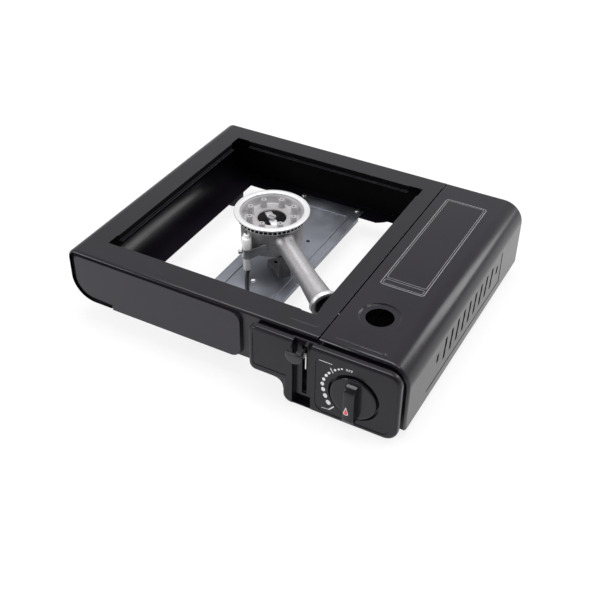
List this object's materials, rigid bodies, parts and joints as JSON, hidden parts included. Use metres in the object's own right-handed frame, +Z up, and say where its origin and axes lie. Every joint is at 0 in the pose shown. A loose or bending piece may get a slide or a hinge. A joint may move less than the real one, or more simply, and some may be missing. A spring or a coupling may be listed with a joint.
{
  "type": "cassette stove",
  "caption": "Portable gas cassette stove: black sheet-metal body, burner on a crossbar under an open pan well, hinged canister lid with vents, dial and lock lever on a front panel",
  "frame": {"origin": "on the ground under the middle of the stove", "axes": "+X to the right seen from the controls, +Y to the rear, +Z up"},
  "size_m": [0.34, 0.299, 0.0823],
  "materials": {
    "black_enamel": "black powder coat, satin",
    "panel_enamel": "dark grey powder coat, satin",
    "black_plastic": "black moulded plastic",
    "zinc_sheet": "galvanised sheet",
    "steel": "plain steel",
    "cast_alloy": "die-cast aluminium",
    "bright_alloy": "turned aluminium",
    "brass": "brass",
    "ceramic": "white ceramic",
    "rubber": "black rubber",
    "white_plastic": "white plastic"
  },
  "bodies": {
    "frame": {"body_shell": "black_enamel", "front_panel": "panel_enamel", "rear_panel": "black_enamel", "hinge_rod": "steel", "control_panel": "black_plastic", "lever_pivot_pin": "steel", "heat_shield": "zinc_sheet", "canister_tray": "black_enamel", "canister_cradle": "black_enamel", "regulator_body": "cast_alloy", "regulator_cover": "bright_alloy", "canister_socket": "steel", "socket_seal": "rubber", "gas_pipe": "brass", "nozzle_bracket": "steel", "burner_casting": "cast_alloy", "burner_ring": "bright_alloy", "burner_dish": "bright_alloy", "spider_bar": "bright_alloy", "burner_screw": "steel", "burner_support": "black_enamel", "crossbar": "zinc_sheet", "crossbar_screws": "steel", "panel_screws": "steel", "electrode_insulator": "ceramic", "electrode_rod": "steel", "electrode_clip": "steel", "ignition_cable": "rubber", "piezo_igniter": "black_plastic", "left_feet": "rubber", "right_feet": "rubber"},
    "lid": {"lid": "black_enamel"},
    "knob": {"knob": "black_plastic", "knob_shaft": "steel"},
    "lever": {"lever_arm": "steel", "lever_grip": "black_plastic"},
    "carriage": {"pusher_carriage": "zinc_sheet"},
    "plunger": {"igniter_plunger": "white_plastic"}
  },
  "joints": [
    {"name": "lid_hinge", "type": "hinge", "parent": "frame", "child": "lid", "pos_m": [0.09077, 0, 0.0734], "axis": [0, -1, 0], "range_deg": [0, 90]},
    {"name": "knob_turn", "type": "hinge", "parent": "frame", "child": "knob", "pos_m": [0.1269, 0, 0.036], "axis": [0, -1, 0], "range_deg": [0, 130]},
    {"name": "lever_swing", "type": "hinge", "parent": "frame", "child": "lever", "pos_m": [0, -0.0953, 0.042], "axis": [1, 0, 0], "range_deg": [0, 45]},
    {"name": "carriage_slide", "type": "slide", "parent": "frame", "child": "carriage", "axis": [0, -1, 0], "range_m": [0, 0.01015]},
    {"name": "plunger_press", "type": "slide", "parent": "frame", "child": "plunger", "axis": [-1, 0, 0], "range_m": [0, 0.004], "stiffness_N_per_m": 400}
  ],
  "couplings": [
    {"joint": "carriage_slide", "follows": "lever_swing", "m_per_rad": 0.012668}
  ]
}
